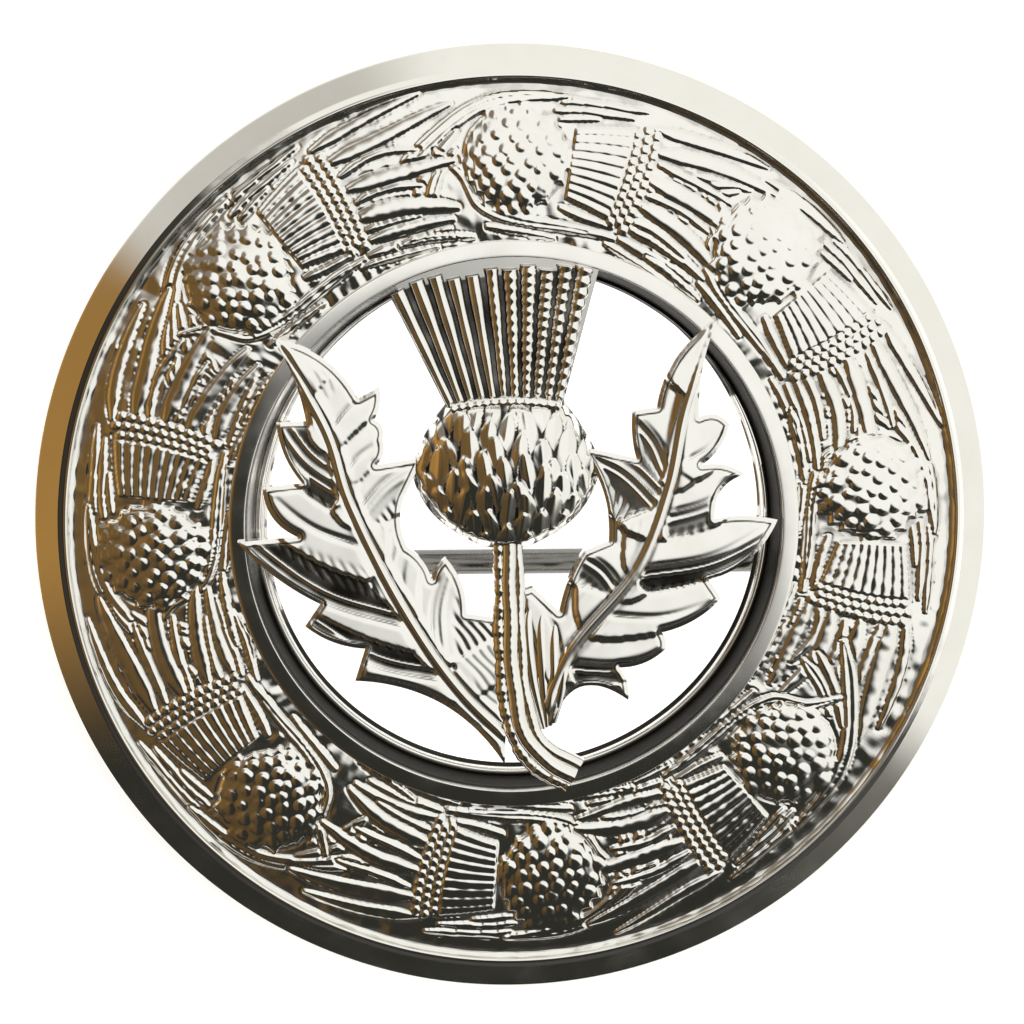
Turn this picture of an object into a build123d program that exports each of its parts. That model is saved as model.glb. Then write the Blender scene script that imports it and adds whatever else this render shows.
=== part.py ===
from build123d import *
from math import cos, hypot, radians, sin
import os

# A round plaid brooch lying face up on its back: a domed ring with eight thistles in relief,
# a thistle sprig soldered across its hole, and a hinged pin behind.
# Millimetres. The ring's axis is Z, the wearer's up is +Y and the back rests on z = 0.

# The ring
ring_radius = 47.5
hole_radius = 26.0
rim_wall = 1.7
skirt_height = 3.3
bevel_run = 2.6
bevel_rise = 2.2
lip_width = 1.9
lip_rise = 0.7
lip_drop = 0.3
ground_crown = 0.9
band_width = 3.2
band_height = 7.1
band_step = 0.5
band_fall = 0.3
edge_round = 0.8
hollow_depth = 4.0
wall_thickness = 1.6
wall_lean = 1.6
back_edge_height = 3.45

# The eight thistles in relief
thistle_count = 8
first_thistle_angle = 4.0
relief_height = 0.8
relief_root = 0.5
bulb_share = 0.36
bulb_height = 1.7
boss_radius = 0.95
boss_stand = 0.3
boss_rings = [(0.0, 1), (0.56, 6)]

# The sprig across the hole
sprig_seat = 0.75
leaf_thickness = 1.5
vein_width = 0.8
vein_height = 0.3
vein_reach = 0.85
midrib_radius = 0.6
stem_radius = 1.25
stem_sink = 0.3
heart_height = 4.6
scale_radius = 1.5
scale_sink = 1.15
tuft_height = 2.2
reed_count = 11
reed_stand = 0.9
reed_fill = 0.52

# The pin, its hinge and its catch
pin_radius = 1.25
pin_level = 1.9
pin_drop = 4.3
pin_cant = 20.0
pin_point_radius = 0.2
pin_taper = 7.5
hinge_inset = 7.3
point_inset = 1.8
eye_radius = 1.35
eye_width = 1.5
eye_gap = 0.08
ear_width = 0.6
wire_gap = 0.4
tongue_share = 0.75
rivet_radius = 0.55
rivet_clearance = 0.05
ear_clearance = 0.02
head_radius = 0.95
head_height = 0.35
solder_depth = 0.5
catch_width = 4.0
catch_wall = 0.9
catch_clearance = 0.25
catch_lip = 1.1
catch_cheek = 0.3

# Sizes worked out from those
bevel_radius = ring_radius - bevel_run
shoulder_height = skirt_height + bevel_rise
relief_outer = bevel_radius - lip_width
relief_inner = hole_radius + band_width
ground_edge = shoulder_height - lip_drop
ground_inner = band_height - band_step
relief_width = relief_outer - relief_inner
thistle_ring = (relief_outer + relief_inner) / 2
bulb_radius = bulb_share * relief_width
ground_middle = (ground_edge + ground_inner) / 2 + ground_crown / 2
seat_level = band_height - sprig_seat
leaf_top = seat_level + leaf_thickness
hinge_x = -(ring_radius - rim_wall - hinge_inset)
point_x = ring_radius - rim_wall - point_inset
taper_x = point_x - pin_taper
catch_x = taper_x - catch_width / 2 - catch_clearance
ear_inner = eye_width / 2 + eye_gap
ear_outer = ear_inner + ear_width
ear_radius = eye_radius
ear_reach = hollow_depth - pin_level + solder_depth + ear_outer * sin(radians(pin_cant))
catch_inner = pin_radius + catch_clearance
catch_outer = catch_inner + catch_wall
catch_foot = hollow_depth - pin_level + solder_depth + catch_outer * sin(radians(pin_cant))
wire_start = ear_radius + wire_gap
tongue_length = wire_start + solder_depth
tongue_height = 2 * eye_radius * tongue_share

# The hinge axis leans, so that the opened pin leaves the catch down its open side
axis_direction = (0, cos(radians(pin_cant)), -sin(radians(pin_cant)))
hinge_plane = Plane(origin=(hinge_x, -pin_drop, pin_level), x_dir=(1, 0, 0), z_dir=axis_direction)
pin_plane = Plane(origin=(hinge_x, -pin_drop, pin_level), x_dir=axis_direction, z_dir=(1, 0, 0))

# The sprig is drawn on a grid with 26 squares to the hole's radius
grid = hole_radius / 26


def on_grid(across, up):
    return (across * grid, up * grid)


# One row for each lobe, from the foot up the outer side and down the inner side:
# the bulge of the edge that leads to its tip, the tip, the bulge after it, the next notch,
# and where its vein leaves the midrib, as a share of the midrib's length
left_leaf_foot = (-0.6, -24.9)
left_leaf = [
    # rise   tip across, up   fall   notch across, up   vein's foot
    (-0.13, -15.4, -16.3, 0.00, -14.4, -13.1, 0.10),
    (0.08, -20.3, -10.8, 0.00, -18.8, -8.6, 0.24),
    (0.05, -26.9, -2.4, 0.00, -21.0, -1.9, 0.38),
    (0.15, -24.4, 3.0, 0.00, -20.5, 3.4, 0.58),
    (0.08, -23.0, 9.4, 0.00, -20.1, 9.5, 0.72),
    (-0.05, -23.3, 17.7, 0.12, -15.0, 11.7, 1.00),
    (0.00, -12.9, 12.8, 0.10, -13.4, 9.6, 0.84),
    (0.20, -12.6, 7.6, 0.15, -13.2, 5.1, 0.74),
    (0.00, -8.6, 5.8, 0.00, -10.6, 1.7, 0.66),
    (-0.10, -10.2, -3.1, 0.10, -7.8, -6.3, 0.42),
    (0.10, -6.4, -4.2, 0.10, -4.4, -9.8, 0.30),
]
left_leaf_root = (-0.2, -10.4)
right_leaf_foot = (4.0, -21.2)
right_leaf = [
    (-0.35, 11.7, -18.6, 0.10, 10.8, -15.3, 0.08),
    (0.10, 15.4, -13.5, 0.10, 15.0, -11.8, 0.18),
    (0.08, 20.9, -8.5, 0.00, 19.6, -6.6, 0.32),
    (0.12, 26.5, -0.7, 0.05, 20.2, -0.5, 0.46),
    (-0.20, 23.2, 3.9, 0.10, 18.9, 4.9, 0.60),
    (0.10, 21.6, 8.9, 0.20, 18.6, 9.6, 0.72),
    (-0.06, 20.3, 19.2, 0.12, 14.4, 10.6, 1.00),
    (0.00, 12.0, 10.3, 0.05, 12.4, 5.6, 0.70),
    (0.00, 6.6, 6.9, -0.10, 9.7, -2.6, 0.62),
    (0.00, 7.2, -3.6, 0.05, 4.8, -9.7, 0.40),
    (0.00, 2.2, -7.2, 0.00, 1.0, -7.6, 0.16),
]
right_leaf_root = (0.8, -9.0)

# Each midrib, from the stem's foot to the leaf's top tip
left_midrib = [(2.0, -24.4), (-5.2, -17.3), (-11.0, -8.6), (-15.9, 1.4), (-18.2, 8.6), (-23.0, 17.2)]
right_midrib = [(2.6, -21.5), (6.0, -13.5), (12.4, -5.6), (15.6, 2.6), (17.2, 10.4), (20.0, 18.6)]
stem_line = [(-0.4, -2.4), (0.4, -8.6), (0.3, -17.6), (2.8, -22.8), (7.0, -26.9)]

# The thistle heart of the sprig: half widths of its outline, from its base up to its neck
heart_centre = -0.45
heart_base = -3.4
heart_rows = [
    # up, half width
    (-2.6, 3.2),
    (0.4, 7.4),
    (4.7, 9.25),
    (8.6, 7.6),
    (11.2, 5.75),
]
heart_widest = heart_rows[2]
# The scales on it, as rows: up, and how many
scale_rows = [(0.6, 4), (3.2, 5), (5.8, 5), (8.4, 4)]
scale_pitch = 3.0
# The tuft's left and right sides at its foot and at its end
tuft_neck = (-6.2, 5.1)
tuft_top = (-12.2, 8.4)
tuft_foot = 10.6
tuft_end = 24.4
tuft_overlap = 0.2

# The leaves in relief beside each thistle, as lenses between two ends.
# Ends: a share of the way out across the relief, and degrees on from the bulb's middle
relief_leaves = [
    # out, turn, out, turn, width as a share of the relief's width
    (0.86, 19.0, 0.72, 38.0, 0.17),
    (0.62, 20.0, 0.54, 36.0, 0.17),
    (0.38, 19.5, 0.36, 36.0, 0.17),
    (0.14, 18.0, 0.20, 35.0, 0.15),
    (0.10, 36.0, 0.10, 52.0, 0.13),
    (0.93, 36.0, 0.92, 51.0, 0.10),
]
fan_near = 6.8
fan_far = 14.6
fan_neck = 0.36
fan_spread = 0.74
fan_ribs = 5
rib_share = 0.72
floret_turn = 16.6
floret_share = 0.055
floret_spread = 0.70
floret_count = 5


def beside(start, end, bulge):
    """The point beside the middle of a chord, to its left by a share of its length."""
    (x0, y0), (x1, y1) = start, end
    return ((x0 + x1) / 2 - (y1 - y0) * bulge, (y0 + y1) / 2 + (x1 - x0) * bulge)


def edge(start, end, bulge):
    """One edge of a leaf: an arc, or a line where it has no bulge."""
    if bulge == 0:
        return Line(start, end)
    return ThreePointArc(start, beside(start, end, bulge), end)


def leaf_outline(foot, lobes, root, side):
    """Draws a leaf from its foot round all its lobes to its root on the stem."""
    here = on_grid(*foot)
    for rise, tip_across, tip_up, fall, notch_across, notch_up, _ in lobes:
        tip = on_grid(tip_across, tip_up)
        notch = on_grid(notch_across, notch_up)
        edge(here, tip, side * rise)
        edge(tip, notch, side * fall)
        here = notch
    Line(here, on_grid(*root))
    Line(on_grid(*root), on_grid(*foot))


def vein(foot, tip):
    """The corners of a vein: a long triangle from the midrib almost to a lobe's tip."""
    run = tip - foot
    half = Vector(-run.Y, run.X).normalized() * (vein_width / 2)
    return foot + half, foot + run * vein_reach, foot - half


def polar(radius, turn):
    """A point of the relief, turned clockwise from the first bulb."""
    return (radius * cos(radians(-turn)), radius * sin(radians(-turn)))


def across_relief(out):
    return relief_inner + out * relief_width


def ground_profile(lift):
    """The relief's ground from its outer to its inner border, raised by lift."""
    outer = (relief_outer, ground_edge + lift)
    middle = (thistle_ring, ground_middle + lift)
    inner = (relief_inner, ground_inner + lift)
    return outer, middle, inner


# The raised leaves, fan and florets of one thistle, flat
with BuildSketch() as motif:
    for out_a, turn_a, out_b, turn_b, width in relief_leaves:
        start = polar(across_relief(out_a), turn_a)
        end = polar(across_relief(out_b), turn_b)
        bulge = width * relief_width / 2 / hypot(end[0] - start[0], end[1] - start[1])
        with BuildLine():
            edge(start, end, bulge)
            edge(end, start, bulge)
        make_face()
    for rib in range(fan_ribs):
        low = (rib + (1 - rib_share) / 2) / fan_ribs - 0.5
        high = (rib + (1 + rib_share) / 2) / fan_ribs - 0.5
        with BuildLine():
            Polyline(
                polar(thistle_ring + low * fan_neck * relief_width, fan_near),
                polar(thistle_ring + low * fan_spread * relief_width, fan_far),
                polar(thistle_ring + high * fan_spread * relief_width, fan_far),
                polar(thistle_ring + high * fan_neck * relief_width, fan_near),
                close=True,
            )
        make_face()
    for floret in range(floret_count):
        out = (floret / (floret_count - 1) - 0.5) * floret_spread * relief_width
        with Locations(polar(thistle_ring + out, floret_turn)):
            Circle(floret_share * relief_width)

# One thistle of the relief, whose leaves follow the ring's ground, with its bulb and bosses
dome_radius = (bulb_radius**2 + bulb_height**2) / (2 * bulb_height)
dome_centre = ground_middle + bulb_height - dome_radius
with BuildPart() as thistle:
    with BuildSketch(Plane.XZ):
        with BuildLine():
            outer, middle, inner = ground_profile(relief_height)
            root_outer, root_middle, root_inner = ground_profile(-relief_root)
            ThreePointArc(outer, middle, inner)
            Line(inner, root_inner)
            ThreePointArc(root_inner, root_middle, root_outer)
            Line(root_outer, outer)
        make_face()
    revolve(axis=Axis.Z)
    extrude(motif.sketch, amount=band_height * 2, mode=Mode.INTERSECT)

with BuildPart() as bulb:
    with Locations((thistle_ring, 0, dome_centre)):
        Sphere(dome_radius)
    for ring_share, count in boss_rings:
        reach = ring_share * bulb_radius
        rise = (dome_radius**2 - reach**2) ** 0.5 + boss_stand - boss_radius
        with Locations((thistle_ring, 0, dome_centre + rise)):
            with PolarLocations(reach, count):
                Sphere(boss_radius)
    split(bisect_by=Plane.XY.offset(ground_middle - relief_root), keep=Keep.TOP)

# The sprig: two lobed leaves, a stem, the thistle's heart and its tuft
left_rib_line = Spline(*[on_grid(*point) for point in left_midrib])
right_rib_line = Spline(*[on_grid(*point) for point in right_midrib])
heart_top = seat_level + heart_height
heart_middle = heart_widest[0] * grid
heart_half = heart_widest[1] * grid
heart_bow = heart_height - leaf_thickness
heart_radius = (heart_half**2 + heart_bow**2) / (2 * heart_bow)
with BuildSketch() as leaves:
    with BuildLine():
        leaf_outline(left_leaf_foot, left_leaf, left_leaf_root, 1)
    make_face()
    with BuildLine():
        leaf_outline(right_leaf_foot, right_leaf, right_leaf_root, -1)
    make_face()

with BuildPart() as sprig:
    with BuildSketch(Plane.XY.offset(seat_level)):
        add(leaves.sketch)
    extrude(amount=leaf_thickness)
    with BuildSketch(Plane.XY.offset(leaf_top)):
        for lobes, rib_line in ((left_leaf, left_rib_line), (right_leaf, right_rib_line)):
            for _, tip_across, tip_up, _, _, _, foot_share in lobes:
                with BuildLine():
                    tip = Vector(*on_grid(tip_across, tip_up))
                    Polyline(*vein(rib_line @ foot_share, tip), close=True)
                make_face()
        add(leaves.sketch, mode=Mode.INTERSECT)
    extrude(amount=vein_height)
    for midrib in (left_midrib, right_midrib):
        with BuildLine(Plane.XY.offset(leaf_top)) as rib_path:
            Spline(*[on_grid(*point) for point in midrib])
        with BuildSketch(Plane(origin=rib_path.line @ 0, z_dir=rib_path.line % 0)):
            Circle(midrib_radius)
        sweep(path=rib_path.line)
    with BuildLine(Plane.XY.offset(leaf_top - stem_sink)) as stem_path:
        Spline(*[on_grid(*point) for point in stem_line])
    with BuildSketch(Plane(origin=stem_path.line @ 0, z_dir=stem_path.line % 0)):
        Circle(stem_radius)
    sweep(path=stem_path.line)

with BuildPart() as heart:
    with BuildSketch(Plane.XY.offset(seat_level)):
        with BuildLine():
            right_side = [(heart_centre + half, up) for up, half in heart_rows]
            left_side = [(heart_centre - half, up) for up, half in reversed(heart_rows)]
            base = (heart_centre, heart_base)
            Spline(*[on_grid(*point) for point in [base] + right_side])
            Line(on_grid(*right_side[-1]), on_grid(*left_side[0]))
            Spline(*[on_grid(*point) for point in left_side + [base]])
        make_face()
    extrude(amount=heart_height)
    with Locations((heart_centre * grid, heart_middle, heart_top - heart_radius)):
        Sphere(heart_radius, mode=Mode.INTERSECT)
    for up, count in scale_rows:
        for scale in range(count):
            across = (scale - (count - 1) / 2) * scale_pitch * grid
            away = hypot(across, up * grid - heart_middle)
            rise = (heart_radius**2 - away**2) ** 0.5 - heart_radius
            with Locations((heart_centre * grid + across, up * grid, heart_top + rise - scale_sink)):
                Sphere(scale_radius)

with BuildPart() as tuft:
    with BuildSketch(Plane.XY.offset(seat_level)):
        with BuildLine():
            Polyline(
                on_grid(tuft_neck[0], tuft_foot),
                on_grid(tuft_top[0], tuft_end),
                on_grid(tuft_top[1], tuft_end),
                on_grid(tuft_neck[1], tuft_foot),
                close=True,
            )
        make_face()
    extrude(amount=tuft_height - reed_stand)
    for reed in range(reed_count):
        share = (reed + 0.5) / reed_count
        low = on_grid(tuft_neck[0] + share * (tuft_neck[1] - tuft_neck[0]), tuft_foot)
        high = on_grid(tuft_top[0] + share * (tuft_top[1] - tuft_top[0]), tuft_end)
        run = Vector(high[0] - low[0], high[1] - low[1])
        reed_level = seat_level + tuft_height - reed_stand
        with Locations(Plane(origin=(low[0], low[1], reed_level), z_dir=run)):
            Cone(
                (tuft_neck[1] - tuft_neck[0]) * grid / reed_count * reed_fill,
                (tuft_top[1] - tuft_top[0]) * grid / reed_count * reed_fill,
                run.length,
                align=(Align.CENTER, Align.CENTER, Align.MIN),
            )
    split(bisect_by=Plane.XZ.offset(-tuft_end * grid), keep=Keep.TOP)
    split(bisect_by=Plane.XY.offset(seat_level), keep=Keep.TOP)
    Cylinder(hole_radius + tuft_overlap, band_height * 4, mode=Mode.INTERSECT)

# The hinge's two ears and the hook of the catch, soldered inside the hollow
with BuildPart() as fittings:
    for side in (-1, 1):
        with BuildSketch(hinge_plane.offset(side * ear_inner)):
            Circle(ear_radius)
            Rectangle(2 * ear_radius, ear_reach, align=(Align.CENTER, Align.MAX))
            Circle(rivet_radius + ear_clearance, mode=Mode.SUBTRACT)
        extrude(amount=side * ear_width)
    with BuildSketch(pin_plane.offset(catch_x - hinge_x - catch_width / 2)):
        Rectangle(2 * catch_outer, catch_foot, align=(Align.CENTER, Align.MIN))
        Rectangle(2 * catch_outer, catch_cheek, align=(Align.CENTER, Align.MAX))
        Rectangle(catch_outer, catch_lip, align=(Align.MIN, Align.MAX))
        Circle(catch_inner, mode=Mode.SUBTRACT)
        Rectangle(2 * catch_inner, 2 * catch_outer, align=(Align.CENTER, Align.MAX), mode=Mode.SUBTRACT)
    extrude(amount=catch_width)

# The brooch's soldered body: ring, thistles, sprig, hinge ears and catch
with BuildPart() as brooch:
    with BuildSketch(Plane.XZ):
        with BuildLine():
            outer, middle, inner = ground_profile(0)
            lip_top = ((bevel_radius + relief_outer) / 2, shoulder_height + lip_rise)
            band_edge = (hole_radius + edge_round, band_height - band_fall)
            hole_edge = (hole_radius, band_height - band_fall - edge_round)
            back_radius = hole_radius - wall_lean
            rim_inner = ring_radius - rim_wall
            Line((rim_inner, 0), (ring_radius, 0))
            Line((ring_radius, 0), (ring_radius, skirt_height))
            Line((ring_radius, skirt_height), (bevel_radius, shoulder_height))
            ThreePointArc((bevel_radius, shoulder_height), lip_top, outer)
            ThreePointArc(outer, middle, inner)
            Line(inner, (relief_inner, band_height))
            Line((relief_inner, band_height), band_edge)
            RadiusArc(band_edge, hole_edge, -edge_round)
            Line(hole_edge, (back_radius, back_edge_height))
            Line((back_radius, back_edge_height), (back_radius + wall_thickness, back_edge_height))
            Line(
                (back_radius + wall_thickness, back_edge_height),
                (hole_radius + wall_thickness, hollow_depth),
            )
            Line((hole_radius + wall_thickness, hollow_depth), (relief_outer, hollow_depth))
            Line((relief_outer, hollow_depth), (rim_inner, skirt_height))
            Line((rim_inner, skirt_height), (rim_inner, 0))
        make_face()
    revolve(axis=Axis.Z)
    with PolarLocations(0, thistle_count, start_angle=first_thistle_angle):
        add([thistle.part, bulb.part])
    add([sprig.part, heart.part, tuft.part, fittings.part])
brooch.part.label = "brooch"

# The pin: an eye, a flat tongue, a straight wire and its point
with BuildPart() as pin:
    with BuildSketch(hinge_plane.offset(-eye_width / 2)):
        Circle(eye_radius)
        Rectangle(tongue_length, tongue_height, align=(Align.MIN, Align.CENTER))
        Circle(rivet_radius + rivet_clearance, mode=Mode.SUBTRACT)
    extrude(amount=eye_width)
    with BuildSketch(pin_plane.offset(wire_start)):
        Circle(pin_radius)
    extrude(amount=taper_x - hinge_x - wire_start)
    with BuildSketch(pin_plane.offset(taper_x - hinge_x)):
        Circle(pin_radius)
    with BuildSketch(pin_plane.offset(point_x - hinge_x)):
        Circle(pin_point_radius)
    loft()
pin.part.label = "pin"

# The rivet: a shank between two flat heads
with BuildPart() as rivet:
    shank = ear_outer + ear_clearance
    with BuildSketch(hinge_plane.offset(-shank)):
        Circle(rivet_radius)
    extrude(amount=2 * shank)
    for side in (-1, 1):
        with BuildSketch(hinge_plane.offset(side * shank)):
            Circle(head_radius)
        extrude(amount=side * head_height)
rivet.part.label = "rivet"

os.makedirs("parts", exist_ok=True)
export_step(brooch.part, "parts/brooch.step")
export_step(pin.part, "parts/pin.step")
export_step(rivet.part, "parts/rivet.step")
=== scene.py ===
import math

import bpy
import numpy as np
from mathutils import Matrix, Vector
from mathutils.geometry import delaunay_2d_cdt


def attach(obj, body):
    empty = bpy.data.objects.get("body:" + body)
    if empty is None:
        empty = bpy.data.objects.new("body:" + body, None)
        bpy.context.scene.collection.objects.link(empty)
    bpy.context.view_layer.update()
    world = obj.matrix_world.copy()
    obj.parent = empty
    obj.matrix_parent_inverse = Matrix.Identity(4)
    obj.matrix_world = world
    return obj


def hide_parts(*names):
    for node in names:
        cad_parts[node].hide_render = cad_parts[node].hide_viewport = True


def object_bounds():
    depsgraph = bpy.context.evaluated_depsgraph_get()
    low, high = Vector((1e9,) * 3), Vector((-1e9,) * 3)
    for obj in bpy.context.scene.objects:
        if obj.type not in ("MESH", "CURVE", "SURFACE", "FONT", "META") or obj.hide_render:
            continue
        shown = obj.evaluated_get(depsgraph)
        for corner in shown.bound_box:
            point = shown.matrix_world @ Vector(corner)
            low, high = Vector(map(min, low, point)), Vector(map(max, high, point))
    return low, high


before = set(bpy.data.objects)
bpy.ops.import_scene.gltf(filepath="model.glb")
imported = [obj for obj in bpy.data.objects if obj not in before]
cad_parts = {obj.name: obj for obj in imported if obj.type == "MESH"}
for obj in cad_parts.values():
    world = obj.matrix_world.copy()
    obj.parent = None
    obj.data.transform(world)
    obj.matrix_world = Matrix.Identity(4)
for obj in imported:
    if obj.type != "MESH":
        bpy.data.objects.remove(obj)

# A round plaid brooch of plated metal, lying face up. Lengths are in millimetres until a piece
# is finished, when its mesh is brought down to metres.
MM = 0.001
cad_low, cad_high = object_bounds()
bpy.ops.object.select_all(action="DESELECT")

# The band of relief: its edges and middle, and how high its domed ground is at each
RELIEF_INNER = 28.2
RELIEF_MIDDLE = 36.1
RELIEF_OUTER = 44.0
GROUND_INNER = 6.6
GROUND_MIDDLE = 6.35
GROUND_OUTER = 5.0

# The sprig lies across the hole, a little to the left of where the solid has it and further up
SEAT_LEVEL = 6.35
LEAF_TOP = 7.85
SPRIG_SHIFT = Vector((-0.45, 1.15, 0))

# The level way to the lamp, as shares of east, north and up
TO_LAMP = (0.54, 0.84, 0)

# The relief is worked as heights over its ground, on a grid of turns and radii
TURN_STEPS = 2304
RADIUS_STEPS = 118
TURN_STEP = 2 * math.pi / TURN_STEPS
GROUND_SUNK = -0.2
GROUND_GRAIN = 0.05
GROOVE_SUNK = -0.36
GROOVE_WIDTH = 0.16
WORN_GRAIN = 0.02
RELIEF_FLATNESS = 0.45
RIM_START = 43.45
RIM_RISE = 0.45
RELIEF_FOOT = 4.6
radii = np.linspace(RELIEF_INNER, RELIEF_OUTER, RADIUS_STEPS)
height = np.full((TURN_STEPS, RADIUS_STEPS), GROUND_SUNK)
dice = np.random.default_rng(7)

# Each thistle: the turn of its bulb in degrees, and how far out it sits from the middle
thistles = [
    (5.5, -0.5),
    (47.7, 0.3),
    (90.0, 0.0),
    (137.9, 0.3),
    (184.3, -0.5),
    (228.4, 0.4),
    (275.9, -0.6),
    (319.5, -0.5),
]

# The fan of a thistle's flower, the florets at its end, and the round head with its bosses
FAN_NEAR = 5.6
FAN_FAR = 10.9
FAN_NECK = 3.5
FAN_SPREAD = 0.24
FAN_RIBS = 9
FLORET_ROWS = 3
FLORETS = 11
FLORET_PITCH = 0.85
FLORET_RADIUS = 0.44
FLORET_BOW = 0.015
BULB_RADIUS = 5.0
BULB_RISE = 1.25
BOSS_PITCH = 1.55
BOSS_JITTER = 0.32

# The leaves between a thistle and the next: three places along each, its width and its ridges
between_leaves = [
    ((12.6, -6.1), (17.0, -6.4), (22.5, -6.3), 0.45, 1),
    ((12.8, -5.0), (17.5, -5.3), (23.6, -5.6), 0.6, 1),
    ((13.0, -3.9), (16.0, -3.8), (20.5, -4.6), 0.45, 1),
    ((13.2, -2.5), (18.5, -2.9), (24.2, -4.2), 0.8, 1),
    ((13.6, -0.9), (17.0, -1.0), (21.0, -1.6), 0.45, 1),
    ((13.4, 0.4), (18.5, 0.4), (24.4, 0.0), 0.85, 1),
    ((13.6, 2.1), (17.0, 2.4), (21.5, 2.2), 0.45, 1),
    ((13.0, 3.4), (18.0, 4.2), (24.6, 5.4), 0.85, 1),
    ((12.4, 5.2), (16.5, 6.0), (22.5, 6.9), 0.6, 1),
    ((11.0, -7.0), (16.0, -7.3), (21.0, -7.6), 0.36, 1),
    ((16.0, -6.6), (19.5, -7.0), (25.0, -7.5), 0.4, 2),
]

# The stem of a thistle, its sheath and the leaves beside its fan: the places along each, its
# width, its ridges, the height it starts from and how far its ridges stand up
stalk = [(-7.5, 1.5), (-5.1, -1.2), (-3.8, -4.2), (0.0, -5.9), (5.0, -6.3), (12.0, -6.2)]
sheath_leaves = [
    ([(3.0, 6.1), (7.0, 6.0), (11.5, 6.6)], 0.5, 1, 0.0, 0.24),
    ([(3.6, 4.9), (6.6, 5.2), (10.5, 5.6)], 0.45, 1, 0.0, 0.24),
    ([(4.0, 4.1), (5.6, 4.4), (7.6, 4.7)], 0.35, 1, 0.0, 0.2),
    ([(5.0, -4.4), (8.0, -5.0), (11.5, -5.2)], 0.4, 1, 0.0, 0.2),
    ([(-12.8, -0.6), (-8.0, 2.4), (-2.3, 5.6), (4.5, 6.4)], 0.8, 2, 0.08, 0.3),
    ([(-10.8, -2.6), (-8.0, 0.6), (-5.2, 3.2)], 0.5, 1, 0.05, 0.24),
    ([(-9.4, -3.6), (-7.6, -0.6), (-5.6, 1.4)], 0.6, 2, 0.05, 0.24),
    (stalk, 0.62, 2, 0.1, 0.28),
    ([(-3.4, -6.4), (0.5, -7.0), (5.0, -7.5)], 0.4, 1, 0.0, 0.2),
]


def smooth_line(points, steps=6):
    """A smooth line through the points."""
    given = np.array(points, float)
    ends = np.vstack([2 * given[0] - given[1], given, 2 * given[-1] - given[-2]])
    line = []
    for before, start, stop, after in zip(ends, ends[1:], ends[2:], ends[3:]):
        for u in np.linspace(0, 1, steps, endpoint=False):
            line.append(0.5 * (
                2 * start + (stop - before) * u
                + (2 * before - 5 * start + 4 * stop - after) * u**2
                + (3 * start - before - 3 * stop + after) * u**3
            ))
    line.append(given[-1])
    return np.array(line)


def nearest(line, x, y):
    """For each place: the signed distance to the line, and the share of the line before it."""
    best = np.full(x.shape, 1e9)
    side = np.ones(x.shape)
    share = np.zeros(x.shape)
    lengths = np.hypot(*np.diff(line, axis=0).T)
    total = lengths.sum()
    passed = 0.0
    for (x0, y0), (x1, y1), length in zip(line, line[1:], lengths):
        dx = (x1 - x0) / length
        dy = (y1 - y0) / length
        along = np.clip((x - x0) * dx + (y - y0) * dy, 0, length)
        away = np.hypot(x - x0 - along * dx, y - y0 - along * dy)
        closer = away < best
        best = np.where(closer, away, best)
        side = np.where(closer, np.sign(dx * (y - y0) - dy * (x - x0) + 1e-12), side)
        share = np.where(closer, (passed + along) / total, share)
        passed += length
    return best * side, share


def rising(value, start, run):
    """Runs from 0 at start to 1 one run further, and is level on both sides."""
    return np.clip((value - start) / run, 0, 1)


def part_of_relief(thistle, low_s, high_s, low_t, high_t):
    """The cells of the relief round one thistle, and their places on it.

    s runs clockwise from the bulb's middle along the relief, and t runs outwards.
    """
    turn = math.radians(thistle[0])
    first = math.ceil((turn - high_s / RELIEF_MIDDLE) / TURN_STEP)
    last = math.floor((turn - low_s / RELIEF_MIDDLE) / TURN_STEP)
    rows = np.arange(first, last + 1)
    out = radii - RELIEF_MIDDLE - thistle[1]
    columns = np.nonzero((out >= low_t) & (out <= high_t))[0]
    s, t = np.meshgrid((turn - rows * TURN_STEP) * RELIEF_MIDDLE, out[columns], indexing="ij")
    return np.ix_(rows % TURN_STEPS, columns), s, t


def arc(radius, start, stop, steps):
    """Points on a round stretch, between two turns in degrees."""
    turns = np.radians(np.linspace(start, stop, steps))
    return [(radius * math.cos(turn), radius * math.sin(turn)) for turn in turns]


def ridge_tops(across, ridges, width, rise):
    """Low flat-topped ridges side by side, where across runs from 0 to 1 over the whole width."""
    place = 2 * ((across * ridges) % 1) - 1
    return rise * (1 - place**6) - 0.17 * width / ridges * place**2


def lay_leaf(thistle, points, width, ridges, base, rise):
    """Lays a long pointed leaf with ridges along it over what is there, in a dark groove."""
    line = smooth_line(points)
    low = line.min(axis=0) - width - 0.5
    high = line.max(axis=0) + width + 0.5
    cells, s, t = part_of_relief(thistle, low[0], high[0], low[1], high[1])
    away, share = nearest(line, s, t)
    foot_share, swell, taper = 0.45, 3, 0.92
    half = width * np.minimum(1, foot_share + swell * share) * np.sqrt(1 - taper * share**3)
    inside = np.abs(away) < half
    across = np.clip((away / half + 1) / 2, 0, 1)
    lean = dice.uniform(-0.10, 0.10)
    top = base + ridge_tops(across, ridges, 2 * width, rise) + lean * away
    now = height[cells]
    groove = (np.abs(away) < half + GROOVE_WIDTH) & ~inside
    now = np.where(groove, np.minimum(now, GROOVE_SUNK), now)
    height[cells] = np.where(inside, top, now)


def lay_thistle_leaves(thistle):
    """The long leaves between this thistle and the next, then its stem and sheath."""
    for *points, width, ridges in between_leaves:
        wave = dice.uniform(-0.35, 0.35, (3, 2))
        bent = [(s + a, t + b) for (s, t), (a, b) in zip(points, wave)]
        lay_leaf(thistle, bent, width * dice.uniform(0.85, 1.15), ridges, 0.0, 0.26)
    for points, width, ridges, base, rise in sheath_leaves:
        lay_leaf(thistle, points, width, ridges, base, rise)


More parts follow.
